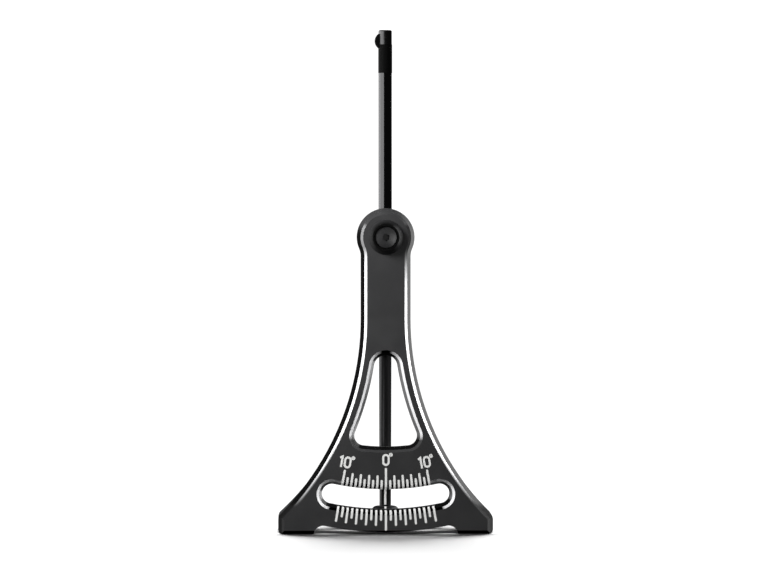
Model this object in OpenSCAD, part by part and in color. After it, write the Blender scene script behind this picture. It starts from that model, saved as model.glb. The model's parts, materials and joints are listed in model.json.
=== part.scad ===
// Free-standing angle gauge of a model car setup station, in millimetres.
// A bell-shaped plate stands on two feet and carries a weighted lever on two ball bearings.
// The lever's feeler meets the wheel at the top, and its pointer reads on the arc scale below.
// World frame: +Z up, the scale faces -Y, the origin is on the ground under the middle of the gauge.
// The modules work in the plate's own frame: x to the right, y up, z towards the reader from the face.

/* [Plate] */
// Height of the lever's pivot above the ground
pivot_h = 89.2; // [86:0.1:93]
// Diameter of the round head
head_d = 17.4; // [17:0.1:22]
// Width of the neck
neck_w = 15; // [13:0.1:16]
// Radius of the hollow between head and neck
neck_fillet_r = 6; // [4:0.5:9]
// Height at which the sides begin to flare
flare_h = 64.7; // [62:0.1:68]
// Radius of the flaring sides
flare_r = 83.7; // [80:0.1:88]
// Thickness of the plate
plate_t = 5; // [4.5:0.1:7]

/* [Feet] */
// Width across both feet
foot_span = 64.8; // [60:0.1:70]
// Clear width between the feet
foot_gap = 43.6; // [43:0.1:47]
// Depth of a foot from front to back
foot_depth = 16; // [16:0.1:24]
// Height of a foot at its heel
heel_h = 5; // [2:0.1:9]
// Height at which the sloping top of a foot meets the plate
foot_slope_h = 15; // [10:0.1:17]
// Radius of the feet's lower outer corners
foot_corner_r = 1.4; // [0.8:0.1:2]
// Radius of the shoulders where the flaring sides meet the feet
shoulder_r = 3; // [2:0.1:4]
// Width of the bevel under the front of a foot
sole_bevel_w = 1.1; // [0.5:0.1:1.5]
// Radius where the underside runs down into a foot
arch_r = 3; // [2:0.1:3.2]
// Gap between the ground and the middle of the lower bar
bar_gap = 0.6; // [0.4:0.1:1.5]

/* [Window and slot] */
// Width of the rails beside the window
rail_w = 5.1; // [4.5:0.1:6]
// Radius of the window's round top
window_top_r = 3.55; // [3.2:0.05:4.5]
// Radius of the window's lower corners
window_corner_r = 3; // [2:0.1:4]
// Distance of the window's lower edge from the pivot
window_r = 63.1; // [60:0.1:66]
// Distance of the slot's centre line from the pivot
slot_r = 78.9; // [77:0.1:80]
// Width of the slot
slot_w = 6; // [5:0.1:7]
// Angle from the middle to each end of the slot, in degrees
slot_angle = 11.85; // [10:0.05:13]

/* [Edges] */
// Width of the bright chamfer round the face
chamfer_w = 0.75; // [0.5:0.05:1]
// Width of the dark bevel outside the chamfer
outer_bevel_w = 1.1; // [0.5:0.05:1.3]
// Depth of the dark bevel outside the chamfer
outer_bevel_d = 2.7; // [1:0.1:3]
// Width of the dark bevel inside the window and the slot
hole_bevel_w = 0.85; // [0.3:0.05:1]
// Depth of the dark bevel inside the window and the slot
hole_bevel_d = 2.1; // [0.8:0.1:2.5]

/* [Pivot] */
// Diameter of the pivot screw
screw_d = 3; // [2.5:0.1:3.2]
// Diameter of the screw's head
screw_head_d = 6.3; // [5.5:0.1:6.6]
// Height of the screw's head
screw_head_h = 1.7; // [1.5:0.1:2]
// Size of the hexagon socket across its flats
socket_af = 2; // [1.5:0.1:2.5]
// Depth of the hexagon socket
socket_depth = 1; // [0.6:0.1:1.1]
// Diameter of the cone washer at the plate
cone_d = 10.5; // [10:0.1:12]
// Diameter of the cone washer at its front rim
cone_rim_d = 8; // [7.8:0.1:9]
// Height of the cone washer
cone_h = 2.4; // [2.2:0.1:3]
// Diameter of the plain washers
washer_d = 4.6; // [4.2:0.1:4.7]
// Thickness of the plain washers
washer_t = 0.5; // [0.3:0.05:0.8]
// Size of the nut across its flats
nut_af = 5.5; // [5:0.1:6.5]
// Thickness of the nut
nut_t = 1.8; // [1.5:0.1:2.4]

/* [Bearings] */
// Outer diameter of a ball bearing
bearing_d = 8; // [7.8:0.1:9]
// Width of a ball bearing
bearing_w = 3; // [2.5:0.1:3.5]
// Diameter of a ball
ball_d = 1.2; // [1:0.05:1.3]
// Number of balls in a bearing
ball_count = 7; // [5:1:8]

/* [Lever] */
// Diameter of the hub behind the head
hub_d = 16.4; // [15.4:0.1:17]
// Diameter of the rods where they leave the hub
rod_d = 4; // [3.6:0.1:4.4]
// Diameter of the threaded ends that screw into the hub
stud_d = 3; // [2.4:0.1:3.2]
// Height of the lever's upper end
tip_h = 151.6; // [140:0.1:165]
// Length of the bare cap above the feeler sleeve
cap_l = 4.3; // [3.5:0.1:6]
// Diameter of the feeler sleeve
sleeve_d = 4.2; // [4.1:0.1:6]
// Length of the feeler sleeve
sleeve_l = 8.6; // [6:0.1:14]
// Diameter of the rod inside the sleeve and the cap
spigot_d = 2.4; // [2:0.1:2.8]
// Radius of the feeler's round nose
nose_r = 2.7; // [2.4:0.05:3.2]
// Distance from the lever's middle line to the tip of the nose
nose_reach = 3.2; // [3:0.05:3.6]
// Width of the nose from front to back
nose_w = 2.4; // [1.8:0.1:3]
// Height of the nose above the sleeve's upper end
nose_rise = 1; // [0.5:0.1:1.5]
// Diameter of the pointer at its lower end
pointer_end_d = 3.5; // [3.2:0.1:3.6]
// Depth of the flat that carries the reading line
flat_depth = 0.4; // [0.2:0.05:0.6]

/* [Bob] */
// Diameter of the bob weight
bob_d = 8.25; // [7.6:0.05:9]
// Height of the bob's top above the ground
bob_top_h = 7.8; // [7.4:0.1:8.6]
// Length of the bob weight
bob_l = 6.6; // [5:0.1:7]
// Rounding of the bob's upper and lower edges
bob_round_r = 1.5; // [0.5:0.1:2]
// Diameter of the pointer's end inside the bob
bob_bore_d = 3; // [2.5:0.1:3.1]
// Diameter of the grub screw that holds the bob
grub_d = 2; // [1.6:0.1:2.5]
// Size of the grub screw's socket across its flats
grub_af = 0.9; // [0.7:0.1:1.2]
// Running gap between the bob and the back of the plate
bob_clear = 0.475; // [0.4:0.025:0.8]

/* [Fits] */
// Radial clearance of parts that are pushed or screwed together
push_fit = 0.01; // [0.005:0.005:0.03]
// Radial clearance of the balls in their grooves and cages
ball_fit = 0.03; // [0.02:0.01:0.06]
// Radial clearance of the screw in its plain holes
screw_fit = 0.1; // [0.05:0.01:0.2]

/* [Hidden] */
$fn = 96;

// Overlap of cutting bodies past the faces they cut
over = 1;
// Depth and angle by which a rounding's cut runs past its ends, so that no film is left between two cuts
bite = 0.01;
lap = 0.5;
// Height by which a shoulder's circle stands proud of the flaring side, so that the two cross
proud = 0.05;

// Plate outline
head_r = head_d / 2;
neck_x = neck_w / 2;
foot_x = foot_span / 2;
heel_x = foot_gap / 2;
pivot = [0, pivot_h];
flare_c = [neck_x + flare_r, flare_h];
fillet_c = [
    neck_x + neck_fillet_r,
    pivot_h - sqrt(pow(head_r + neck_fillet_r, 2) - pow(neck_x + neck_fillet_r, 2))
];
head_end_a = angle_to(pivot, fillet_c);
flare_end_a = 180 + asin((flare_h + over) / flare_r);
shoulder_x = foot_x - shoulder_r;
shoulder_c = [
    shoulder_x,
    flare_h - sqrt(pow(flare_r + shoulder_r - proud, 2) - pow(flare_c.x - shoulder_x, 2))
];
foot_corner_x = foot_x - foot_corner_r;
bar_r = pivot_h - bar_gap;
arch_x = heel_x - arch_r;
arch_c = [arch_x, pivot_h - sqrt(pow(bar_r + arch_r, 2) - pow(arch_x, 2))];

// Window and slot
rail_r = flare_r + rail_w;
window_top_c = [0, flare_h - sqrt(pow(rail_r + window_top_r, 2) - pow(flare_c.x, 2))];
window_corner_c = lower_meeting(pivot, window_r - window_corner_r, flare_c, rail_r + window_corner_r);
window_core_w = max(window_top_r, window_corner_r) + over;
slot_in_r = slot_r - slot_w / 2;
slot_out_r = slot_r + slot_w / 2;

// Depths behind the plate's face
hub_t = bob_d + 2 * (bob_clear - washer_t);
hub_z = -plate_t - washer_t;
lever_z = hub_z - hub_t / 2;
hub_back_z = hub_z - hub_t;
nut_z = hub_back_z - washer_t - nut_t;
spacer_l = hub_t - 2 * bearing_w;
face_y = (cone_h - foot_depth) / 2;

// Pivot
screw_r = screw_d / 2;
bore_r = screw_r + screw_fit;
head_play = 0.3;
head_recess_d = screw_head_d + 2 * head_play;
cone_seat_z = cone_h - screw_head_h;
dome_h = 0.5;
nut_edge_share = 1.04;
nut_edge_r = nut_edge_share * nut_af / 2;
dome_r = (pow(screw_head_d / 2, 2) + pow(dome_h, 2)) / (2 * dome_h);

// Bearings
bearing_r = bearing_d / 2;
pitch_r = (screw_r + push_fit + bearing_r) / 2;
ball_r = ball_d / 2;
groove_r = ball_r + ball_fit;
land_share = 0.7;
land_gap = ball_r * land_share;
cage_half = 0.25;
cage_rim = 0.2;
cage_w = ball_d + 2 * cage_rim;
shield_t = 0.15;
shield_depth = 0.15;
shield_lip = 0.15;
shield_play = 0.06;
shield_out_r = pitch_r + land_gap + shield_lip;
shield_in_r = pitch_r - land_gap + shield_play;
front_z = hub_z - bearing_w / 2;
rear_z = hub_back_z + bearing_w / 2;

// Lever
rod_r = rod_d / 2;
hub_edge = 0.4;
hub_wall = 0.6;
seat_depth = 0.6;
seat_r = hub_d / 2 - seat_depth;
stud_l = seat_r - bearing_r - hub_wall;
stud_play = 0.1;
stud_hole_l = stud_l + stud_play + seat_depth;
sleeve_top_h = tip_h - cap_l;
sleeve_low_h = sleeve_top_h - sleeve_l;
spigot_share = 0.6;
spigot_top_h = sleeve_top_h + cap_l * spigot_share;
nose_c = [nose_r - nose_reach, sleeve_top_h + nose_rise];
nose_root = 0.4;
nose_root_x = nose_root - rod_r;
cap_edge = 0.3;
flat_margin = 0.4;
flat_rise = 3.5;
flat_low_h = bob_top_h + flat_margin;
flat_top_h = pivot_h - slot_in_r + flat_rise;

// Bob
bob_low_h = bob_top_h - bob_l;
bob_mid_h = bob_top_h - bob_l / 2;
grub_sink = 0.3;
grub_l = bob_d / 2 - bob_bore_d / 2 - grub_sink;

// Direction from one point to another, in degrees
function angle_to(a, b) = atan2(b.y - a.y, b.x - a.x);

// Lower of the two points at distance ra from a and rb from b, with b to the right of a
function lower_meeting(a, ra, b, rb) =
    let (
        d = norm(b - a),
        u = (b - a) / d,
        along = (ra * ra - rb * rb + d * d) / (2 * d),
        across = sqrt(ra * ra - along * along)
    )
    a + along * u + across * [u.y, -u.x];

// Section of the open space beside an edge at r: a chamfer, a steep bevel, then a plain wall.
// The space lies beyond r where side is 1 and within r where side is -1, and is far wide.
function edge_space(r, side, bevel_w, bevel_d, far) = [
    [r + side * far, over],
    [r - side * (bevel_w + chamfer_w + over), over],
    [r - side * bevel_w, -chamfer_w],
    [r, -chamfer_w - bevel_d],
    [r, -foot_depth - over],
    [r + side * far, -foot_depth - over]
];

function outer_edge(r, side, far) = edge_space(r, side, outer_bevel_w, outer_bevel_d, far);
function hole_edge(r, side, far) = edge_space(r, side, hole_bevel_w, hole_bevel_d, far);

// Sets what is drawn in the plate's frame into the world frame
module in_place() {
    translate([0, face_y, 0]) rotate([90, 0, 0]) children();
}

// Sets what is drawn round the origin onto the pivot's axis
module on_pivot() {
    in_place() translate([0, pivot_h, 0]) children();
}

// Turns a section round the point c between two angles
module turned(c, from, to, section) {
    translate([c.x, c.y, 0]) rotate([0, 0, from])
        rotate_extrude(angle = to - from, $fn = 360) polygon(section);
}

// Cuts a rounding of radius r round the point c between two angles, with a hub that covers its middle
module rounded(c, from, to, r, section) {
    turned(c, from - lap, to + lap, section);
    translate([c.x, c.y, -plate_t - over]) cylinder(h = plate_t + 2 * over, r = r / 2);
}

// Runs a section straight up between two heights
module run_up(low, high, section) {
    translate([0, high, 0]) rotate([90, 0, 0]) linear_extrude(high - low) polygon(section);
}

// Draws its children on both sides of the middle line
module both_sides() {
    children();
    mirror([1, 0, 0]) children();
}

// Disc or tube on the pivot's axis from one depth to another
module tube(z_low, z_high, r_out, r_in) {
    translate([0, 0, z_low]) difference() {
        cylinder(h = z_high - z_low, r = r_out);
        translate([0, 0, -over]) cylinder(h = z_high - z_low + 2 * over, r = r_in);
    }
}

// Hexagonal bar of a given size across its flats
module hexagon(af, h) {
    rotate([0, 0, 30]) cylinder(h = h, r = af / sqrt(3), $fn = 6);
}

// Plain slab and foot blocks that the plate is milled from
module plate_blank() {
    side_x = foot_x + 2 * over;
    head_x = head_r + over;
    step_h = flare_h + over;
    translate([0, 0, -plate_t]) linear_extrude(plate_t) polygon([
        [-side_x, 0], [side_x, 0], [side_x, step_h], [head_x, step_h],
        [head_x, pivot_h + head_x], [-head_x, pivot_h + head_x],
        [-head_x, step_h], [-side_x, step_h]
    ]);
    both_sides() translate([heel_x, 0, 0]) rotate([0, 90, 0]) linear_extrude(side_x - heel_x)
        polygon([
            [plate_t, 0], [foot_depth, 0], [foot_depth, heel_h], [plate_t, foot_slope_h]
        ]);
}

// Space round the outline, with the chamfer and bevel of its front edge
module around_outline() {
    turned(pivot, head_end_a, 180 - head_end_a, outer_edge(head_r, 1, head_r));
    both_sides() {
        rounded(fillet_c, angle_to(fillet_c, pivot), 180, neck_fillet_r,
            outer_edge(neck_fillet_r + bite, -1, neck_fillet_r + bite));
        run_up(flare_h, fillet_c.y, outer_edge(neck_x, 1, foot_x));
        turned(flare_c, 180, flare_end_a, outer_edge(flare_r, -1, foot_x + 3 * over));
        run_up(-over, flare_h - over, outer_edge(foot_x, 1, 3 * over));
    }
}

// Space outside the rounded outer corners of the feet
module around_foot_corners() {
    reach = 2 * foot_corner_r;
    shoulder_reach = 2 * shoulder_r;
    to_flare = (flare_c - shoulder_c) / norm(flare_c - shoulder_c) * shoulder_reach;
    translate([0, 0, -foot_depth - over]) linear_extrude(foot_depth + 2 * over) both_sides() {
        difference() {
            polygon([
                shoulder_c, shoulder_c + [shoulder_reach, 0],
                shoulder_c + [shoulder_reach, shoulder_reach], shoulder_c + to_flare
            ]);
            translate(shoulder_c) circle(shoulder_r);
        }
        difference() {
            translate([foot_corner_x, foot_corner_r - reach]) square(reach);
            translate([foot_corner_x, foot_corner_r]) circle(foot_corner_r);
        }
    }
}

// Space under the bevelled front edge of both feet
module under_soles() {
    side_x = foot_x + over;
    translate([-side_x, 0, 0]) rotate([0, 90, 0]) linear_extrude(2 * side_x) polygon([
        [-over, sole_bevel_w + over], [-over, -over], [sole_bevel_w + over, -over]
    ]);
}

// Space under the lower bar, between the feet
module under_bar() {
    depth = plate_t + over;
    arch_a = angle_to(pivot, arch_c);
    turned(pivot, -180 - arch_a, arch_a, [
        [bar_r, over], [bar_r, -depth], [bar_r + 4 * over, -depth], [bar_r + 4 * over, over]
    ]);
    both_sides() {
        rounded(arch_c, 0, angle_to(arch_c, pivot), arch_r, [
            [0, over], [0, -depth], [arch_r + bite, -depth], [arch_r + bite, over]
        ]);
        translate([arch_x, -over, -depth]) cube([arch_r, arch_c.y + over, depth + over]);
    }
}

// Triangular window that the pointer swings behind
module window() {
    top_r = window_top_r + bite;
    corner_r = window_corner_r + bite;
    rounded(window_top_c, angle_to(window_top_c, flare_c), 180 - angle_to(window_top_c, flare_c),
        window_top_r, hole_edge(top_r, -1, top_r));
    both_sides() {
        turned(flare_c, 360 + angle_to(flare_c, window_top_c), 360 + angle_to(flare_c, window_corner_c),
            hole_edge(rail_r, 1, window_core_w));
        rounded(window_corner_c, angle_to(pivot, window_corner_c), angle_to(window_corner_c, flare_c),
            window_corner_r, hole_edge(corner_r, -1, corner_r));
    }
    turned(pivot, -180 - angle_to(pivot, window_corner_c), angle_to(pivot, window_corner_c),
        hole_edge(window_r, -1, 1.5 * window_corner_r));
    translate([0, 0, -plate_t - over]) linear_extrude(plate_t + 2 * over) polygon([
        window_top_c, window_corner_c, [-window_corner_c.x, window_corner_c.y]
    ]);
}

// Curved slot that shows the pointer between the two rows of the scale
module scale_slot() {
    half = slot_w / 2;
    end_c = pivot + slot_r * [sin(slot_angle), -cos(slot_angle)];
    turned(pivot, -90 - slot_angle, -90 + slot_angle, hole_edge(slot_in_r, 1, 1.5 * half));
    turned(pivot, -90 - slot_angle, -90 + slot_angle, hole_edge(slot_out_r, -1, 1.5 * half));
    both_sides() rounded(end_c, slot_angle - 90, slot_angle + 90, half,
        hole_edge(half + bite, -1, half + bite));
}

module plate() color("#2c2c2e") in_place() difference() {
    plate_blank();
    around_outline();
    around_foot_corners();
    under_soles();
    under_bar();
    window();
    scale_slot();
    translate([0, pivot_h, -plate_t - over]) cylinder(h = plate_t + 2 * over, r = bore_r);
}

module pivot_screw() color("#3a3a3d") on_pivot() difference() {
    union() {
        translate([0, 0, nut_z]) cylinder(h = cone_seat_z - nut_z, r = screw_r);
        intersection() {
            translate([0, 0, cone_seat_z]) cylinder(h = screw_head_h, d = screw_head_d);
            translate([0, 0, cone_h - dome_r]) sphere(dome_r);
        }
    }
    translate([0, 0, cone_h - dome_h / 2 - socket_depth]) hexagon(socket_af, socket_depth + over);
}

module cone_washer() color("#1d1d1f") on_pivot() difference() {
    cylinder(h = cone_h, d1 = cone_d, d2 = cone_rim_d);
    translate([0, 0, cone_seat_z]) cylinder(h = cone_h, d = head_recess_d);
    translate([0, 0, -over]) cylinder(h = cone_h, r = bore_r);
}

module plain_washer(z_low) {
    on_pivot() tube(z_low, z_low + washer_t, washer_d / 2, bore_r);
}

module front_washer() color("silver") plain_washer(hub_z);
module rear_washer() color("silver") plain_washer(hub_back_z - washer_t);

module pivot_nut() color("#8d8f92") on_pivot() translate([0, 0, nut_z]) difference() {
    intersection() {
        hexagon(nut_af, nut_t);
        cylinder(h = 2 * nut_t, r1 = nut_edge_r, r2 = nut_edge_r + 2 * nut_t);
    }
    translate([0, 0, -over]) cylinder(h = nut_t + 2 * over, r = screw_r + push_fit);
}

// Track that the balls run in
module ball_track() {
    rotate_extrude() translate([pitch_r, 0]) circle(groove_r);
}

module inner_ring(z) color("#c9cacc") on_pivot() translate([0, 0, z]) difference() {
    tube(-bearing_w / 2, bearing_w / 2, pitch_r - land_gap, screw_r + push_fit);
    ball_track();
}

module outer_ring(z) color("#c9cacc") on_pivot() translate([0, 0, z]) difference() {
    tube(-bearing_w / 2, bearing_w / 2, bearing_r - push_fit, pitch_r + land_gap);
    ball_track();
    for (side = [-1, 1]) translate([0, 0, side * bearing_w / 2])
        cylinder(h = 2 * (shield_depth + shield_t), r = shield_out_r, center = true);
}

module balls(z) color("#e2e3e4") on_pivot() translate([0, 0, z])
    for (i = [0 : ball_count - 1]) rotate([0, 0, i * 360 / ball_count])
        translate([pitch_r, 0, 0]) sphere(ball_r);

module cage(z) color("#b4b6b8") on_pivot() translate([0, 0, z]) difference() {
    tube(-cage_w / 2, cage_w / 2, pitch_r + cage_half, pitch_r - cage_half);
    for (i = [0 : ball_count - 1]) rotate([0, 0, i * 360 / ball_count])
        translate([pitch_r, 0, 0]) rotate([0, 90, 0])
            cylinder(h = 4 * cage_half, r = groove_r, center = true);
}

module shields(z) color("#4a4b4e") on_pivot() translate([0, 0, z]) for (side = [0, 1])
    mirror([0, 0, side]) translate([0, 0, bearing_w / 2 - shield_depth - shield_t])
        tube(0, shield_t, shield_out_r - push_fit, shield_in_r);

module front_inner_ring() inner_ring(front_z);
module front_outer_ring() outer_ring(front_z);
module front_balls() balls(front_z);
module front_cage() cage(front_z);
module front_shields() shields(front_z);
module rear_inner_ring() inner_ring(rear_z);
module rear_outer_ring() outer_ring(rear_z);
module rear_balls() balls(rear_z);
module rear_cage() cage(rear_z);
module rear_shields() shields(rear_z);

module bearing_spacer() color("silver") on_pivot()
    tube(rear_z + bearing_w / 2, front_z - bearing_w / 2, washer_d / 2, screw_r + push_fit);

// Rod section along the lever, drawn upwards from a height
module on_lever(h) {
    in_place() translate([0, h, lever_z]) rotate([-90, 0, 0]) children();
}

module hub() color("#242426") difference() {
    on_pivot() translate([0, 0, hub_back_z]) rotate_extrude() polygon([
        [0, 0], [hub_d / 2 - hub_edge, 0], [hub_d / 2, hub_edge],
        [hub_d / 2, hub_t - hub_edge], [hub_d / 2 - hub_edge, hub_t], [0, hub_t]
    ]);
    on_pivot() {
        translate([0, 0, hub_z - bearing_w]) cylinder(h = bearing_w + over, r = bearing_r);
        translate([0, 0, hub_back_z - over]) cylinder(h = bearing_w + over, r = bearing_r);
        translate([0, 0, hub_back_z]) cylinder(h = hub_t, r = shield_out_r);
        for (turn = [0, 180]) rotate([0, 0, turn])
            translate([-hub_d / 2, seat_r, hub_back_z - over]) cube([hub_d, hub_d, hub_t + 2 * over]);
    }
    for (low = [pivot_h - hub_d / 2, pivot_h + hub_d / 2 - stud_hole_l])
        on_lever(low) cylinder(h = stud_hole_l, r = stud_d / 2 + push_fit);
}

module upper_rod() color("#303033") {
    on_lever(pivot_h + seat_r - stud_l) cylinder(h = stud_l, d = stud_d);
    on_lever(pivot_h + seat_r) cylinder(h = sleeve_low_h - pivot_h - seat_r, r = rod_r);
    on_lever(sleeve_low_h) cylinder(h = spigot_top_h - sleeve_low_h, d = spigot_d);
}

module feeler_sleeve() color("#161617") difference() {
    union() {
        on_lever(sleeve_low_h) cylinder(h = sleeve_l, d = sleeve_d);
        in_place() intersection() {
            translate([nose_c.x, nose_c.y, lever_z]) sphere(nose_r);
            translate([-2 * nose_r + nose_root_x, nose_c.y - nose_r, lever_z - nose_w / 2])
                cube([2 * nose_r, 2 * nose_r, nose_w]);
        }
    }
    on_lever(sleeve_low_h - over) cylinder(h = sleeve_l + 2 * over, r = spigot_d / 2 + push_fit);
    on_lever(sleeve_top_h) cylinder(h = 2 * nose_r, r = rod_r + push_fit);
}

module rod_cap() color("#303033") on_lever(sleeve_top_h) difference() {
    rotate_extrude() polygon([
        [0, 0], [rod_r, 0], [rod_r, cap_l - cap_edge], [rod_r - cap_edge, cap_l], [0, cap_l]
    ]);
    translate([0, 0, -over])
        cylinder(h = spigot_top_h - sleeve_top_h + stud_play + over, r = spigot_d / 2 + push_fit);
}

module pointer() color("#1f1f21") difference() {
    union() {
        on_lever(pivot_h - seat_r) cylinder(h = stud_l, d = stud_d);
        on_lever(bob_top_h) cylinder(
            h = pivot_h - seat_r - bob_top_h, d1 = pointer_end_d, d2 = rod_d);
        on_lever(bob_low_h) cylinder(h = bob_l, d = bob_bore_d);
    }
    in_place() translate([-rod_d, flat_low_h, lever_z + pointer_end_d / 2 - flat_depth])
        cube([2 * rod_d, flat_top_h - flat_low_h, rod_d]);
}

module bob_weight() color("#232325") difference() {
    on_lever(bob_low_h) rotate_extrude() difference() {
        union() {
            square([bob_d / 2 - bob_round_r, bob_l]);
            translate([0, bob_round_r]) square([bob_d / 2, bob_l - 2 * bob_round_r]);
            for (h = [bob_round_r, bob_l - bob_round_r])
                translate([bob_d / 2 - bob_round_r, h]) circle(bob_round_r);
        }
        translate([0, -over]) square([bob_bore_d / 2 + push_fit, bob_l + 2 * over]);
    }
    in_place() translate([0, bob_mid_h, lever_z - bob_d]) cylinder(h = bob_d, r = grub_d / 2 + push_fit);
}

module bob_grub_screw() color("#55565a") in_place()
    translate([0, bob_mid_h, lever_z - bob_bore_d / 2 - push_fit - grub_l]) difference() {
        cylinder(h = grub_l, d = grub_d);
        translate([0, 0, -over]) hexagon(grub_af, grub_l / 2 + over);
    }

plate();
pivot_screw();
cone_washer();
front_washer();
rear_washer();
pivot_nut();
front_inner_ring();
front_outer_ring();
front_balls();
front_cage();
front_shields();
rear_inner_ring();
rear_outer_ring();
rear_balls();
rear_cage();
rear_shields();
bearing_spacer();
hub();
upper_rod();
feeler_sleeve();
rod_cap();
pointer();
bob_weight();
bob_grub_screw();
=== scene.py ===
# Free-standing angle gauge of a model car setup station: its finishes, its scale and its studio.
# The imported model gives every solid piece. This script adds the markings and the finishes.
# Lengths are written in millimetres and turned into metres by MM.
import json
import math

import bmesh
import bpy
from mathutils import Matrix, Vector


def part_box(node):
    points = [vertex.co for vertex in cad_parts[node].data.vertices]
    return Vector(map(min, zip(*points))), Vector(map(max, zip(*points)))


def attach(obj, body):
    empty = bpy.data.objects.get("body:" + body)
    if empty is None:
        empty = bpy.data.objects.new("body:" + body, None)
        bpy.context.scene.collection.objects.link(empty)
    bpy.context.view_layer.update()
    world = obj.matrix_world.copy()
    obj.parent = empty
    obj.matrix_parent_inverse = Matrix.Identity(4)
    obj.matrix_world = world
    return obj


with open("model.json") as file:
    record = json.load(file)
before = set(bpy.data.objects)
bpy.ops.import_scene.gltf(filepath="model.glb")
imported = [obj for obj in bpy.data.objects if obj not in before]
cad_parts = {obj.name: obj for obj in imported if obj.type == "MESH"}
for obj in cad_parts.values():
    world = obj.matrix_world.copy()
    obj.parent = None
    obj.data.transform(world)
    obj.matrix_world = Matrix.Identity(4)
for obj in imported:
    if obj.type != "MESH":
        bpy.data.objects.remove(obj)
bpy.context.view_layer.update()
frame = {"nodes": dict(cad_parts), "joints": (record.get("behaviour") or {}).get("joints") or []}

# --- Plate ---
# The stand of the gauge: an aluminium plate milled in one piece with its feet, then blasted and
# anodised black. A chamfer and a smooth black bevel run round the outline, the window and the
# slot; the chamfer's brightness is a painted highlight, and the edges carry painted light and shade.
MM = 0.001
nodes = frame["nodes"]
FACE_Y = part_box("plate")[0].y
PLATE_BLACK = (0.018, 0.018, 0.0185, 1)
PLATE_DUSTY = (0.022, 0.022, 0.0225, 1)
BEVEL_BLACK = (0.002, 0.002, 0.002, 1)
PAINTED_LIGHT_ALUMINIUM = (0.82, 0.82, 0.83, 1)

# How far the chamfer and the bevel look to the front, and how far a face may differ from that.
CHAMFER_OUTWARD, CHAMFER_SPREAD = math.sqrt(0.5), (0.08, 0.14)
BEVEL_OUTWARD, BEVEL_SPREAD = 0.375, (0.06, 0.10)

# Where one look of the edges passes into the next: places on the plate, each from start to end.
FOOT_SLOPE_X, FOOT_SLOPE_TOP = (22.5, 24.5), (8.0, 13.5)
HEEL_X, HEEL_TOP = (24.0, 26.0), (7.0, 10.0)
LOW_SIDE_TOP, NEAR_FACE_TOP, NEAR_FACE_DEPTH = (12.0, 24.0), (20.0, 32.0), (0.15, 0.45)
WINDOW_SIDE_X, WINDOW_FOOT_LOW, WINDOW_FOOT_TOP = (13.0, 14.0), (20.0, 22.0), (28.0, 30.5)
SLOT_LOW, SLOT_TOP, SLOT_END_X, SLOT_END_LEAN = (5.5, 6.5), (18.0, 19.0), (21.5, 22.9), 0.61
HEAD_LOW, NECK_LOW, RIGHT_X = (80.0, 86.5), (66.0, 86.0), (2.0, 5.0)
MIDDLE_X, LEFT_X = (-1.0, 1.0), (-1.0, 0.0)

# The same for directions. The first two are sideways direction times distance from the middle.
LOOKS_AWAY, LOOKS_INWARD = (1.0, 3.0), (-2.5, -0.8)
LOOKS_SIDEWAYS, HEEL_SIDEWAYS = (0.15, 0.30), (0.2, 0.4)
HEAD_UPWARD, HOLE_UPWARD, TOP_UPWARD, ROOF_DOWNWARD = (0.30, 0.42), (0.25, 0.55), (0.1, 0.5), (1.0, 1.4)

# Painted light and shade: what shaded stretches take from the chamfer's highlight, and lit ones give
# the bevel.
HEAD_SHADED, NEAR_FACE_SHADED, LOW_LEFT_SHADED, LOW_RIGHT_MORE_SHADED, HEEL_LIT = 0.9, 0.7, 0.45, 0.3, 0.6
HOLE_SIDE_LIT, HOLE_LEFT_LIT, SLOT_ROOF_LIT = 0.12, 0.23, 0.3
HOLE_LEFT_PAINTED_LIGHT, HEAD_TOP_PAINTED_LIGHT = 0.8, 0.9


class Wire:
    """One output in a node tree. Arithmetic with other wires and numbers adds Math nodes."""

    def __init__(self, finish, socket):
        self.finish, self.socket = finish, socket

    def maths(self, operation, *terms):
        return self.finish.node("ShaderNodeMath", {"operation": operation}, dict(enumerate(terms)))

    def __add__(self, other):
        return self.maths("ADD", self, other)

    def __sub__(self, other):
        return self.maths("SUBTRACT", self, other)

    def __rsub__(self, other):
        return self.maths("SUBTRACT", other, self)

    def __mul__(self, other):
        return self.maths("MULTIPLY", self, other)

    def __abs__(self):
        return self.maths("ABSOLUTE", self)

    __radd__ = __add__
    __rmul__ = __mul__

    def rise(self, start, end):
        """0 before start and 1 after end, with a smooth step between them."""
        return self.finish.node(
            "ShaderNodeMapRange",
            {"interpolation_type": "SMOOTHSTEP"},
            {"Value": self, "From Min": start, "From Max": end},
        )

    def fall(self, start, end):
        """1 before start and 0 after end."""
        return 1 - self.rise(start, end)


class Nodes:
    """The node tree of a material or of the world, to which nodes are added by calls."""

    def __init__(self, owner, surface):
        owner.use_nodes = True
        self.tree = owner.node_tree
        self.surface = self.tree.nodes[surface]

    def feed(self, socket, value):
        if isinstance(value, Wire):
            self.tree.links.new(value.socket, socket)
        else:
            socket.default_value = value

    def node(self, kind, settings, sockets, output=0):
        """Adds a node of a kind, makes its settings, feeds its sockets, and gives one output."""
        new = self.tree.nodes.new(kind)
        for name, value in settings.items():
            setattr(new, name, value)
        for key, value in sockets.items():
            self.feed(new.inputs[key], value)
        return Wire(self, new.outputs[output])

    def shade(self, **sockets):
        """Feeds the surface's shader. An underscore in a name stands for a space."""
        for name, value in sockets.items():
            self.feed(self.surface.inputs[name.replace("_", " ")], value)


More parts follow.
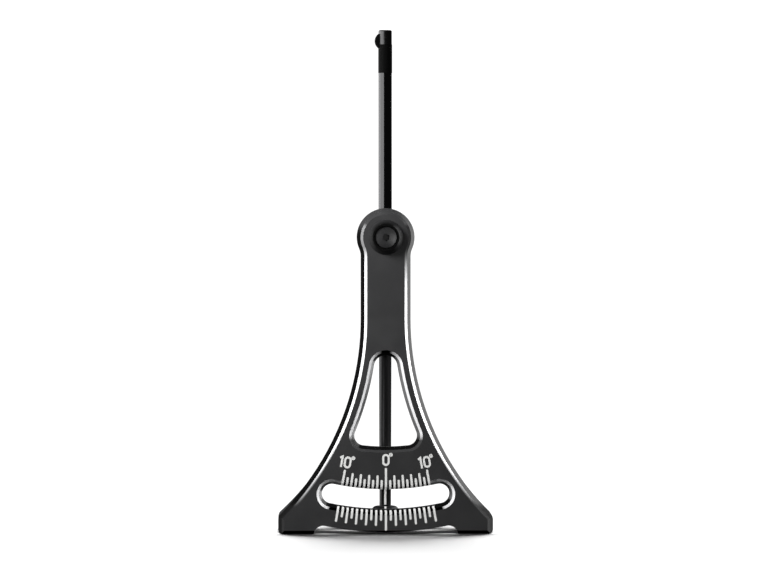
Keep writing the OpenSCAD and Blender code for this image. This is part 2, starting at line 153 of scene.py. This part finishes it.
class Finish(Nodes):
    """A material with one Principled shader, and the marks of how its pieces were made."""

    def __init__(self, name):
        self.material = bpy.data.materials.new(name)
        super().__init__(self.material, "Principled BSDF")

    def vector(self, operation, first, second):
        """Vector Math on two vectors."""
        return self.node("ShaderNodeVectorMath", {"operation": operation}, {0: first, 1: second})

    def parts(self, vector):
        """The X, Y and Z of a vector."""
        return [self.node("ShaderNodeSeparateXYZ", {}, {0: vector}, axis) for axis in "XYZ"]

    def place(self, stretch=(1, 1, 1)):
        """Position on the piece in millimetres, with each axis stretched."""
        spot = self.node("ShaderNodeTexCoord", {}, {}, "Object")
        return self.vector("MULTIPLY", spot, [s / MM for s in stretch])

    def facing(self):
        """The three parts of the surface's own direction."""
        return self.parts(self.node("ShaderNodeTexCoord", {}, {}, "Normal"))

    def grain(self, size, stretch=(1, 1, 1), detail=2.0):
        """Random grain between 0 and 1 with lumps of a size in millimetres."""
        sockets = {"Vector": self.place(stretch), "Scale": 1 / size, "Detail": detail}
        return self.node("ShaderNodeTexNoise", {}, sockets)

    def mix(self, share, first, second):
        """The first colour, with a share of the second in its place."""
        sockets = {"Factor": share, 6: first, 7: second}
        return self.node("ShaderNodeMix", {"data_type": "RGBA"}, sockets, 2)

    def bump(self, height, depth):
        """Tilts the surface as if height were relief of a depth in millimetres."""
        sockets = {"Strength": 1.0, "Distance": depth * MM, "Height": height}
        return self.node("ShaderNodeBump", {}, sockets)

    def on(self, *pieces):
        for piece in pieces:
            piece.data.materials.clear()
            piece.data.materials.append(self.material)


plate = Finish("black_anodised_plate")
across, outward, upward = plate.facing()
right, back, height = plate.parts(plate.place())
depth = back - FACE_Y / MM
aside = abs(right)
away = across * right

# The parts of the plate whose edges get different painted light and shade.
under_foot_slope = aside.rise(*FOOT_SLOPE_X) * height.fall(*FOOT_SLOPE_TOP)
outer_side = away.rise(*LOOKS_AWAY)
low_shaded = LOW_LEFT_SHADED + LOW_RIGHT_MORE_SHADED * right.rise(*MIDDLE_X)
low_side = outer_side * height.fall(*LOW_SIDE_TOP) * low_shaded
near_face = outer_side * height.fall(*NEAR_FACE_TOP) * depth.fall(*NEAR_FACE_DEPTH)
window_foot = aside.fall(*WINDOW_SIDE_X) * height.rise(*WINDOW_FOOT_LOW) * height.fall(*WINDOW_FOOT_TOP)
on_head = height.rise(*HEAD_LOW)
looking_up = window_foot + upward.rise(*HEAD_UPWARD) * on_head
head_right = on_head * right.rise(*RIGHT_X)
neck_right = height.rise(*NECK_LOW) * right.rise(*RIGHT_X)
in_slot = height.rise(*SLOT_LOW) * height.fall(*SLOT_TOP)
slot_end = (aside + SLOT_END_LEAN * height).rise(*SLOT_END_X) * in_slot
sideways = abs(across).rise(*LOOKS_SIDEWAYS)
turned_to_side = sideways + slot_end * (1 - sideways)
heel_side = under_foot_slope * abs(across).rise(*HEEL_SIDEWAYS)

# The chamfer gets a painted highlight of bare aluminium where turned to the side, else painted black
# shade, hardly lit.
cut = abs(outward + CHAMFER_OUTWARD).fall(*CHAMFER_SPREAD)
bright = (
    cut
    * turned_to_side
    * (1 - under_foot_slope)
    * (1 - looking_up)
    * (1 - HEAD_SHADED * on_head)
    * (1 - HEAD_SHADED * neck_right)
    * (1 - low_side)
    * (1 - NEAR_FACE_SHADED * near_face)
)
unlit = (
    cut
    * (1 - bright)
    * (1 - looking_up)
    * (1 - HEEL_LIT * heel_side)
    * (1 - on_head + head_right)
)

# The bevel is black and smooth; in the holes and on top of the head it is painted somewhat lighter as
# painted light.
smooth = abs(outward + BEVEL_OUTWARD).fall(*BEVEL_SPREAD)
hole_side = (
    smooth
    * away.fall(*LOOKS_INWARD)
    * height.rise(*SLOT_LOW)
    * (1 - window_foot)
    * upward.fall(*HOLE_UPWARD)
)
hole_left = hole_side * right.fall(*LEFT_X)
slot_roof = smooth * slot_end * (1 - upward).rise(*ROOF_DOWNWARD) * (1 - hole_side)
head_top = smooth * on_head * upward.rise(*TOP_UPWARD)
blasted_heel = smooth * aside.rise(*HEEL_X) * height.fall(*HEEL_TOP)
# Painted shade: the unlit chamfer is painted black with the bevel. Painted light: the bevel is painted
# less black on the holes' left and on the head's top.
edge_black_and_painted_shading = smooth + unlit - HOLE_LEFT_PAINTED_LIGHT * hole_left - HEAD_TOP_PAINTED_LIGHT * head_top
lit = HOLE_SIDE_LIT * hole_side + HOLE_LEFT_LIT * hole_left + SLOT_ROOF_LIT * slot_roof

blast = plate.grain(0.12, detail=3.0)
cloud = plate.grain(9.0)
dusty = plate.mix(cloud.rise(0.35, 0.7), PLATE_BLACK, PLATE_DUSTY)
black_edges_and_painted_shading = plate.mix(edge_black_and_painted_shading, dusty, BEVEL_BLACK)
blasted = 0.40 + 0.10 * blast + 0.05 * cloud
plate.shade(
    Base_Color=plate.mix(bright + lit, black_edges_and_painted_shading, PAINTED_LIGHT_ALUMINIUM),
    Metallic=0.6 * bright + unlit + 0.6 * hole_left,
    Roughness=blasted - 0.14 * bright - 0.27 * smooth + 0.55 * blasted_heel + 0.27 * head_top,
    Specular_IOR_Level=0.3,
    Normal=plate.bump(blast * (1 - bright), 0.004),
)
plate.on(nodes["plate"])

# --- Scale ---
# Strokes and numerals of the arc scale, cut by an engraver into the plate's face and filled with
# white paint. The strokes run on over the chamfer and the bevel of the slot's long edges, so that
# the pointer's line meets them.
PIVOT = Vector(frame["joints"][0]["pos_m"])
FRONT = Vector((0, -1, 0))
SLOT_INNER_R, SLOT_OUTER_R = 75.9, 81.9
CHAMFER_W, BEVEL_W, BEVEL_D = 0.75, 0.85, 2.1
MITRE_AT_FACE, MITRE_AT_BEVEL = 0.41, 1.5
BEVEL_TO_FRONT, BEVEL_TO_SLOT = 0.37, 0.93
STROKE_W = 0.66
PAINT_T = 0.012
SCALE_END = 10
UPPER_START = {"zero": 69.25, "end": 70.85, "even": 71.50, "odd": 72.90}
LOWER_END = {"zero": 88.15, "end": 86.75, "even": 86.75, "odd": 85.15}
LOWER_STOP = 0.25
ROUND_STEPS = 6
TIP_START = 12
PAINT_WHITE = (0.420, 0.420, 0.413, 1)
PAINT_GREY = (0.378, 0.378, 0.371, 1)
PAINT_SHADED_UP = (0.30, 0.30, 0.295, 1)
PAINT_LIT_DOWN = (0.95, 0.95, 0.94, 1)
PAINT_UPWARD, PAINT_DOWNWARD = (0.2, 0.5), (1.2, 1.5)


def on_face(angle, r, depth=0.0, aside=0.0):
    """Point at a distance r under the pivot, turned by an angle and set back from the face."""
    a = math.radians(angle)
    along = Vector((math.sin(a), 0, -math.cos(a)))
    side = Vector((math.cos(a), 0, math.sin(a)))
    flat = Vector((PIVOT.x, FACE_Y, PIVOT.z)) + (along * r + side * aside) * MM
    return flat + Vector((0, depth * MM, 0))


def ribbon(mesh, stations, closed=False):
    """Adds a thin closed strip of paint along stations.

    A station is a centre, the way across, the way out of the surface and half the width.
    """
    rings = []
    for centre, across, out, half in stations:
        lift = out.normalized() * PAINT_T * MM
        reach = across * half * MM
        corners = (
            centre - reach - lift,
            centre + reach - lift,
            centre + reach + lift,
            centre - reach + lift,
        )
        rings.append([mesh.verts.new(c) for c in corners])
    pairs = list(zip(rings, rings[1:]))
    if closed:
        pairs.append((rings[-1], rings[0]))
    for first, second in pairs:
        for i in range(4):
            mesh.faces.new((first[i], first[i - 1], second[i - 1], second[i]))
    if not closed:
        mesh.faces.new(rings[0])
        mesh.faces.new(rings[-1][::-1])


def painted(name, mesh, body, finish):
    """Turns a built mesh into a piece that rides on a body."""
    bmesh.ops.recalc_face_normals(mesh, faces=mesh.faces)
    data = bpy.data.meshes.new(name)
    mesh.to_mesh(data)
    mesh.free()
    piece = bpy.data.objects.new(name, data)
    bpy.context.scene.collection.objects.link(piece)
    finish.on(piece)
    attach(piece, body)
    return piece


def stroke_kind(degree):
    if degree == 0:
        return "zero"
    if abs(degree) == SCALE_END:
        return "end"
    return "odd" if degree % 2 else "even"


def stroke(degree, tip_r, edge_r, way, stop=0.0):
    """Stations of a stroke from its round tip to an edge of the slot and down over that edge.

    The way is 1 for a stroke that runs down to its edge and -1 for one that runs up. It ends
    a stop before the bevel's inner end.
    """
    side = (on_face(degree, 0, 0, 1) - on_face(degree, 0)).normalized()
    to_slot = (on_face(degree, 1) - on_face(degree, 0)).normalized() * way
    half = STROKE_W / 2
    for i in range(ROUND_STEPS):
        turn = math.radians(TIP_START + (90 - TIP_START) * i / (ROUND_STEPS - 1))
        at = on_face(degree, tip_r + way * half * (1 - math.cos(turn)))
        yield at, side, FRONT, half * math.sin(turn)
    at = on_face(degree, edge_r - way * (BEVEL_W + CHAMFER_W))
    yield at, side, FRONT + to_slot * MITRE_AT_FACE, half
    at = on_face(degree, edge_r - way * BEVEL_W, CHAMFER_W)
    yield at, side, FRONT + to_slot * MITRE_AT_BEVEL, half
    at = on_face(degree, edge_r - way * stop, CHAMFER_W + BEVEL_D * (1 - stop / BEVEL_W))
    yield at, side, FRONT * BEVEL_TO_FRONT + to_slot * BEVEL_TO_SLOT, half


def paint(name, light, dark):
    """White paint with a faint mottle between two tones. Gives the finish and its colour."""
    finish = Finish(name)
    mottle = finish.grain(0.5)
    colour = finish.mix(mottle.rise(0.3, 0.75), light, dark)
    finish.shade(Base_Color=colour, Roughness=0.45 + 0.15 * mottle)
    return finish, colour


# Painted light and shade on the strokes: painted darker on edges that look up and lighter on those that
# look down.
white_paint, mottled = paint("white_paint", PAINT_WHITE, PAINT_GREY)
paint_up = white_paint.facing()[2]
shaded_up_colour = white_paint.mix(paint_up.rise(*PAINT_UPWARD), mottled, PAINT_SHADED_UP)
lit_down = (1 - paint_up).rise(*PAINT_DOWNWARD)
white_paint.shade(Base_Color=white_paint.mix(lit_down, shaded_up_colour, PAINT_LIT_DOWN))

strokes = bmesh.new()
for degree in range(-SCALE_END, SCALE_END + 1):
    kind = stroke_kind(degree)
    ribbon(strokes, list(stroke(degree, UPPER_START[kind], SLOT_INNER_R, 1)))
    ribbon(strokes, list(stroke(degree, LOWER_END[kind], SLOT_OUTER_R, -1, LOWER_STOP))[::-1])
scale_strokes = painted("scale_strokes", strokes, "stand", white_paint)

NUMERAL_H = 3.6
NUMERAL_W = 2.25
NUMERAL_STROKE = 0.62
NUMERAL_BASE_R = {-10: 70.35, 0: 68.65, 10: 70.35}
PAIR_SHIFT, ONE_TO_ZERO = 0.4, 1.35
ONE_STEM_X, ONE_FLAG_H, ONE_TOP_CUT, ONE_FOOT_CUT = 0.72, 0.80, 0.45, 0.1
DEGREE_D = 1.15
DEGREE_TO_ZERO, DEGREE_DROP = 0.35, 0.25
DEGREE_STRETCH = 0.001


def glyph(mesh, angle, base_r, left, points, closed=False):
    """Adds one engraved line of a numeral.

    Points are right and up from the numeral's lower left corner.
    """
    half = NUMERAL_STROKE / 2
    stations = []
    last = len(points) - 1
    for i, (x, y) in enumerate(points):
        before = Vector(points[i - 1] if i or closed else points[i])
        after = Vector(points[(i + 1) % len(points)] if i < last or closed else points[i])
        here = Vector((x, y))
        way_in, way_out = (here - before).normalized(), (after - here).normalized()
        way = (way_in + way_out).normalized()
        bend = max(0.5, way.dot(way_in if way_in.length else way_out))
        at = on_face(angle, base_r - y, 0, left + x)
        turned = on_face(angle, base_r - way.x, 0, -way.y) - on_face(angle, base_r, 0, 0)
        stations.append((at, turned.normalized(), FRONT, half / bend))
    ribbon(mesh, stations, closed)


def oval(width, height, middle=(0, 0)):
    """Points round a slot-shaped loop with half-round ends."""
    r = width / 2
    for end in (1, -1):
        for i in range(2 * ROUND_STEPS + 1):
            turn = math.pi * i / (2 * ROUND_STEPS) + (0 if end > 0 else math.pi)
            x, y = r * math.cos(turn), end * (height / 2 - r) + r * math.sin(turn)
            yield middle[0] + x, middle[1] + y


numerals = bmesh.new()
line_w, line_h = NUMERAL_W - NUMERAL_STROKE, NUMERAL_H - NUMERAL_STROKE
zero = list(oval(line_w, line_h, (NUMERAL_W / 2, NUMERAL_H / 2)))
dot_w = DEGREE_D - NUMERAL_STROKE
one = [
    (0.0, NUMERAL_H * ONE_FLAG_H),
    (ONE_STEM_X, NUMERAL_H - NUMERAL_STROKE * ONE_TOP_CUT),
    (ONE_STEM_X, NUMERAL_STROKE * ONE_FOOT_CUT),
]
for degree, base_r in NUMERAL_BASE_R.items():
    left = -NUMERAL_W / 2 if degree == 0 else -NUMERAL_W / 2 + PAIR_SHIFT
    glyph(numerals, degree, base_r, left, zero, closed=True)
    dot_middle = (left + NUMERAL_W + DEGREE_TO_ZERO, NUMERAL_H - DEGREE_DROP)
    dot = list(oval(dot_w, dot_w + DEGREE_STRETCH, dot_middle))
    glyph(numerals, degree, base_r, 0, dot, closed=True)
    if degree:
        glyph(numerals, degree, base_r, left - ONE_TO_ZERO, one)
scale_numerals = painted("scale_numerals", numerals, "stand", white_paint)

# --- Cone washer and pivot screw ---
# A turned aluminium washer, anodised black, with a recess for the pivot screw's button head.
# Its outer rim is coloured lighter, near the plate's tone, and it is near-black close to the
# screw. The screw is hardened steel with a black oxide skin; its hexagon socket takes a small key.
TURNED_BLACK = (0.001, 0.001, 0.001, 1)
TURNED_DULL = (0.002, 0.002, 0.002, 1)
RIM_BLACK = (0.011, 0.011, 0.01133, 1)
RIM_R = (3.9, 5.2)
OXIDE_BLACK = (0.008, 0.008, 0.0085, 1)
OXIDE_DULL = (0.018, 0.018, 0.0185, 1)


def from_pivot(finish):
    """Distance from the pivot's axis in millimetres."""
    flat = finish.vector("MULTIPLY", finish.vector("SUBTRACT", finish.place(), PIVOT / MM), (1, 0, 1))
    return finish.node("ShaderNodeVectorMath", {"operation": "LENGTH"}, {0: flat}, "Value")


def turning(finish, pitch):
    """Fine rings round the pivot's axis, as a lathe leaves them, between 0 and 1."""
    sockets = {"W": from_pivot(finish), "Scale": 1 / pitch}
    return finish.node("ShaderNodeTexNoise", {"noise_dimensions": "1D"}, sockets)


washer_black = Finish("turned_black")
rings = turning(washer_black, 0.12)
inner = washer_black.mix(washer_black.grain(2.0), TURNED_BLACK, TURNED_DULL)
rim = from_pivot(washer_black).rise(*RIM_R)
washer_black.shade(
    Base_Color=washer_black.mix(rim, inner, RIM_BLACK),
    Roughness=0.28 + 0.12 * rings,
    Specular_IOR_Level=0.3,
    Normal=washer_black.bump(rings, 0.004),
)
washer_black.on(nodes["cone_washer"])

oxide = Finish("black_oxide_steel")
skin = oxide.grain(0.25, detail=4.0)
oxide.shade(
    Base_Color=oxide.mix(skin, OXIDE_BLACK, OXIDE_DULL),
    Metallic=0.35,
    Roughness=0.34 + 0.16 * skin,
    Normal=oxide.bump(skin, 0.004),
)
oxide.on(nodes["pivot_screw"], nodes["bob_grub_screw"])

# --- Washers, spacer and nut ---
# Plain bright steel pieces on the pivot screw: two stamped washers, the tube between the inner
# rings of the bearings, and the nut that clamps them all on the screw.
STEEL = (0.56, 0.56, 0.57, 1)
STEEL_DULL = (0.42, 0.42, 0.43, 1)
bright_steel = Finish("bright_steel")
lathe = turning(bright_steel, 0.1)
stain = bright_steel.grain(1.5, detail=4.0)
bright_steel.shade(
    Base_Color=bright_steel.mix(stain.rise(0.3, 0.8), STEEL, STEEL_DULL),
    Metallic=1.0,
    Roughness=0.22 + 0.14 * lathe,
    Normal=bright_steel.bump(lathe, 0.003),
)
for name in ("front_washer", "rear_washer", "pivot_nut", "bearing_spacer"):
    bright_steel.on(nodes[name])

# --- Ball bearings ---
# Two shielded miniature ball bearings: ground and polished rings and balls, and a pressed cage
# that spaces the balls. The thin shields are stamped from dull steel sheet and snapped into the
# outer rings.
POLISHED = (0.72, 0.72, 0.74, 1)
SHEET_DULL = (0.30, 0.30, 0.31, 1)
bearing_steel = Finish("polished_bearing_steel")
ground = turning(bearing_steel, 0.06)
bearing_steel.shade(
    Base_Color=bearing_steel.mix(bearing_steel.grain(0.8), POLISHED, STEEL),
    Metallic=1.0,
    Roughness=0.10 + 0.10 * ground,
)
shield_steel = Finish("shield_steel")
rolled = shield_steel.grain(0.2, stretch=(1, 1, 6))
shield_steel.shade(
    Base_Color=shield_steel.mix(rolled, STEEL_DULL, SHEET_DULL),
    Metallic=1.0,
    Roughness=0.38 + 0.12 * rolled,
)
for side in ("front", "rear"):
    for piece in ("inner_ring", "outer_ring", "balls", "cage"):
        bearing_steel.on(nodes[f"{side}_{piece}"])
    shield_steel.on(nodes[f"{side}_shields"])

# --- Hub ---
# The lever's middle: a turned aluminium disc, anodised black, with a seat for each bearing and a
# flat with a thread for each rod.
hub_black = Finish("hub_black")
hub_rings = turning(hub_black, 0.18)
hub_black.shade(
    Base_Color=hub_black.mix(hub_black.grain(4.0), PLATE_BLACK, PLATE_DUSTY),
    Roughness=0.32 + 0.14 * hub_rings,
    Normal=hub_black.bump(hub_rings, 0.005),
)
hub_black.on(nodes["hub"])

# --- Rods ---
# The lever's two arms and the cap on the upper one: drawn and polished aluminium rod, anodised
# black and glossy. The pointer's flat carries a white line that is read between the two rows of
# strokes, and the line runs on over the bob's upper edge.
ROD_GREY = (0.205, 0.205, 0.208, 1)
ROD_DARK = (0.175, 0.175, 0.178, 1)
CAP_GREY = (0.23, 0.23, 0.233, 1)
POINTER_GREY = (0.06, 0.06, 0.062, 1)
POINTER_DARK = (0.05, 0.05, 0.052, 1)
LINE_WHITE = (0.80, 0.80, 0.79, 1)
LINE_GREY = (0.75, 0.75, 0.74, 1)
LINE_LOW, LINE_HIGH, LINE_W = 8.25, 16.7, 0.66
POINTER_END_D, FLAT_DEPTH, FLAT_LIFT = 3.5, 0.4, 0.001
BOB_R, BOB_TOP, BOB_ROUND = 4.125, 7.8, 1.5
RIGHT = Vector((1, 0, 0))


def drawn_rod(name, light, dark, metallic, roughness):
    """A finish with fine marks along the rod, as the drawing die leaves them."""
    finish = Finish(name)
    drawn = finish.grain(0.1, stretch=(1, 1, 0.02), detail=3.0)
    finish.shade(
        Base_Color=finish.mix(drawn.rise(0.25, 0.8), light, dark),
        Metallic=metallic,
        Roughness=roughness + 0.08 * drawn,
        Normal=finish.bump(drawn, 0.0008),
    )
    return finish


drawn_rod("gloss_black_rod", ROD_GREY, ROD_DARK, 1.0, 0.10).on(nodes["upper_rod"])
drawn_rod("gloss_black_pointer", POINTER_GREY, POINTER_DARK, 0.8, 0.28).on(nodes["pointer"])

cap_satin = Finish("satin_black_cap")
faced = cap_satin.grain(0.15, detail=3.0)
cap_satin.shade(
    Base_Color=cap_satin.mix(faced, ROD_GREY, CAP_GREY),
    Metallic=1.0,
    Roughness=0.30 + 0.08 * faced,
)
cap_satin.on(nodes["rod_cap"])

flat_y = PIVOT.y - (POINTER_END_D / 2 - FLAT_DEPTH + FLAT_LIFT) * MM
on_flat = [
    (Vector((PIVOT.x, flat_y, h * MM)), RIGHT, FRONT, LINE_W / 2) for h in (LINE_LOW, LINE_HIGH)
]
bob_axis = Vector((PIVOT.x, PIVOT.y, 0))
edge_middle = bob_axis + Vector((0, BOB_ROUND - BOB_R, BOB_TOP - BOB_ROUND)) * MM
over_bob = []
for i in range(ROUND_STEPS + 1):
    turn = math.radians(90 * i / ROUND_STEPS)
    out = Vector((0, -math.sin(turn), math.cos(turn)))
    over_bob.append((edge_middle + out * BOB_ROUND * MM, RIGHT, out, LINE_W / 2))

line = bmesh.new()
ribbon(line, on_flat)
ribbon(line, over_bob)
# The reading line is painted whiter than the scale, as painted light where the plate shades it.
line_paint = paint("line_paint_with_painted_light", LINE_WHITE, LINE_GREY)[0]
reading_line = painted("reading_line", line, "lever", line_paint)

# --- Feeler sleeve ---
# A short moulded sleeve of black plastic with the round nose that touches the wheel's rim. It is
# pushed on the upper rod's thin end and held by the cap.
SLEEVE_BLACK = (0.001, 0.001, 0.001, 1)
SLEEVE_DULL = (0.002, 0.002, 0.002, 1)
sleeve = Finish("black_plastic_sleeve")
moulded = sleeve.grain(0.35, detail=3.0)
sleeve.shade(
    Base_Color=sleeve.mix(moulded, SLEEVE_BLACK, SLEEVE_DULL),
    Roughness=0.36 + 0.14 * moulded,
    Specular_IOR_Level=0.05,
    Normal=sleeve.bump(moulded, 0.004),
)
sleeve.on(nodes["feeler_sleeve"])

# --- Bob ---
# The weight that keeps the pointer upright: turned brass, plated black, clamped on the pointer's
# end by a grub screw from behind.
BOB_BLACK = (0.010, 0.010, 0.011, 1)
BOB_DULL = (0.018, 0.018, 0.019, 1)
bob_black = Finish("black_plated_bob")
bob_turned = bob_black.grain(0.15, stretch=(0.05, 0.05, 1), detail=2.0)
bob_black.shade(
    Base_Color=bob_black.mix(bob_turned, BOB_BLACK, BOB_DULL),
    Roughness=0.30 + 0.15 * bob_turned,
    Normal=bob_black.bump(bob_turned, 0.003),
)
bob_black.on(nodes["bob_weight"])

# --- Studio ---
# A white paper floor in two halves that meet under the plate, bright walls that only edges, rods
# and steel mirror, and soft lamps that light only paint, matt faces and the floor. The camera
# stands in front, a little to the left and a little above the floor.
FLOOR_X = 220
FLOOR_FRONT_Y, FLOOR_SEAM_Y, FLOOR_REAR_Y = -350, -5.5, 220
PAPER_WHITE = (0.90, 0.90, 0.90, 1)
PAPER_LIGHT = (0.92, 0.92, 0.92, 1)


def floor_half(name, near, far):
    """One half of the floor, which neither mirrors in the gauge nor lights it."""
    corners = [(-FLOOR_X, near), (FLOOR_X, near), (FLOOR_X, far), (-FLOOR_X, far)]
    data = bpy.data.meshes.new(name)
    data.from_pydata([(x * MM, y * MM, 0) for x, y in corners], [], [(0, 1, 2, 3)])
    half = bpy.data.objects.new(name, data)
    half.visible_glossy = False
    half.visible_diffuse = False
    bpy.context.scene.collection.objects.link(half)
    return half


front_floor = floor_half("front_floor", FLOOR_FRONT_Y, FLOOR_SEAM_Y)
rear_floor = floor_half("rear_floor", FLOOR_SEAM_Y, FLOOR_REAR_Y)
paper = Finish("white_paper")
paper.shade(
    Base_Color=paper.mix(paper.grain(40.0), PAPER_WHITE, PAPER_LIGHT),
    Roughness=1.0,
    Specular_IOR_Level=0.0,
)
paper.on(front_floor, rear_floor)


def lamp(name, place, aim, size, radiance, mirrored, linking, pieces):
    """A rectangle that shines evenly, either only mirrored or only on matt faces.

    The linking says whether it lights only the pieces (INCLUDE) or all but them (EXCLUDE).
    """
    light = bpy.data.lights.new(name, "AREA")
    light.shape = "RECTANGLE"
    light.size, light.size_y = size[0] * MM, size[1] * MM
    light.energy = radiance * 4 * light.size * light.size_y
    stand = bpy.data.objects.new(name, light)
    stand.location = Vector(place) * MM
    stand.rotation_euler = (Vector(aim) - Vector(place)).to_track_quat("-Z", "Y").to_euler()
    stand.visible_camera = False
    stand.visible_glossy = mirrored
    stand.visible_diffuse = not mirrored
    flagged = bpy.data.collections.new(f"{name}_flag")
    for piece in pieces:
        flagged.objects.link(piece)
    for member in flagged.collection_objects:
        member.light_linking.link_state = linking
    stand.light_linking.receiver_collection = flagged
    bpy.context.scene.collection.objects.link(stand)


def wall(name, place, aim, size, radiance, linking, pieces):
    lamp(name, place, aim, size, radiance, True, linking, pieces)


def soft(name, place, aim, size, radiance, linking, pieces):
    lamp(name, place, aim, size, radiance, False, linking, pieces)


MIDDLE = (0, 0, 60)
GROUND = (0, 0, 0)
floor = (front_floor, rear_floor)
rods = tuple(nodes[n] for n in ("upper_rod", "rod_cap", "pointer", "feeler_sleeve"))
rear_steel = tuple(
    nodes[n] for n in ("pivot_nut", "pivot_screw", "rear_washer", "front_washer", "bob_grub_screw")
)
screw = (nodes["pivot_screw"],)
markings = (scale_strokes, scale_numerals, reading_line)
wall("left_wall", (-400, -510, 25), (0, -510, 25), (1440, 550), 1.0, "EXCLUDE", floor + rods)
wall("rod_wall", (-400, -320, 25), (0, -320, 25), (1060, 550), 0.80, "INCLUDE", rods)
wall("right_wall", (300, -30, 60), (0, -30, 60), (260, 640), 2.0, "EXCLUDE", floor + rods)
wall("rear_right_wall", (390, 260, 150), MIDDLE, (420, 620), 1.1, "EXCLUDE", floor + rods)
wall("rear_left_wall", (-390, 260, 60), MIDDLE, (420, 760), 0.8, "INCLUDE", rods + rear_steel)
wall("rear_wall", (0, 600, 20), (0, 0, 20), (360, 360), 0.8, "INCLUDE", rear_steel)
wall("screw_wall", (260, -420, 20), (0, 0, 85), (200, 200), 8.0, "INCLUDE", screw)
soft("key", (-105, -70, 150), MIDDLE, (60, 60), 58.0, "EXCLUDE", floor)
soft("low_fill", (0, -48, 5), (0, -8, 16), (90, 6), 6.0, "INCLUDE", markings)
soft("front_fill", (150, -1100, 250), MIDDLE, (700, 500), 3.6, "EXCLUDE", floor)
soft("side_lamp", (420, 120, 220), MIDDLE, (220, 220), 22.0, "EXCLUDE", floor)
soft("rear_lamp", (0, 2400, 1680), GROUND, (2800, 2800), 8.7, "EXCLUDE", (rear_floor,))
soft("front_lamp", (0, -1150, 1340), GROUND, (900, 500), 38.0, "INCLUDE", (rear_floor,))

WHITE = (1, 1, 1, 1)
BACKDROP_DIM, BACKDROP_SEEN, BACKDROP_ON_MATT = 0.012, 1.1, 0.05
world = bpy.data.worlds.new("studio")
bpy.context.scene.world = world
backdrop = Nodes(world, "Background")
seen = backdrop.node("ShaderNodeLightPath", {}, {}, "Is Camera Ray")
matt = backdrop.node("ShaderNodeLightPath", {}, {}, "Is Diffuse Ray")
backdrop.shade(
    Color=WHITE, Strength=BACKDROP_DIM + BACKDROP_SEEN * seen + BACKDROP_ON_MATT * matt
)

CAMERA_DISTANCE = 1200
CAMERA_ELEVATION = math.radians(1.5)
CAMERA_AZIMUTH = math.radians(-1.4)
AIM = Vector((1.22, -6.8, 72.65)) * MM
IMAGE_W_MM = 234.0
SENSOR_W = 36.0
level = math.cos(CAMERA_ELEVATION)
to_camera = Vector((
    math.sin(CAMERA_AZIMUTH) * level,
    -math.cos(CAMERA_AZIMUTH) * level,
    math.sin(CAMERA_ELEVATION),
))
camera_data = bpy.data.cameras.new("camera")
camera_data.sensor_width = SENSOR_W
camera_data.lens = SENSOR_W * CAMERA_DISTANCE / IMAGE_W_MM
camera = bpy.data.objects.new("camera", camera_data)
camera.location = AIM + to_camera * CAMERA_DISTANCE * MM
camera.rotation_euler = (AIM - camera.location).to_track_quat("-Z", "Y").to_euler()
bpy.context.scene.collection.objects.link(camera)
bpy.context.scene.camera = camera
bpy.context.scene.view_settings.view_transform = "Standard"
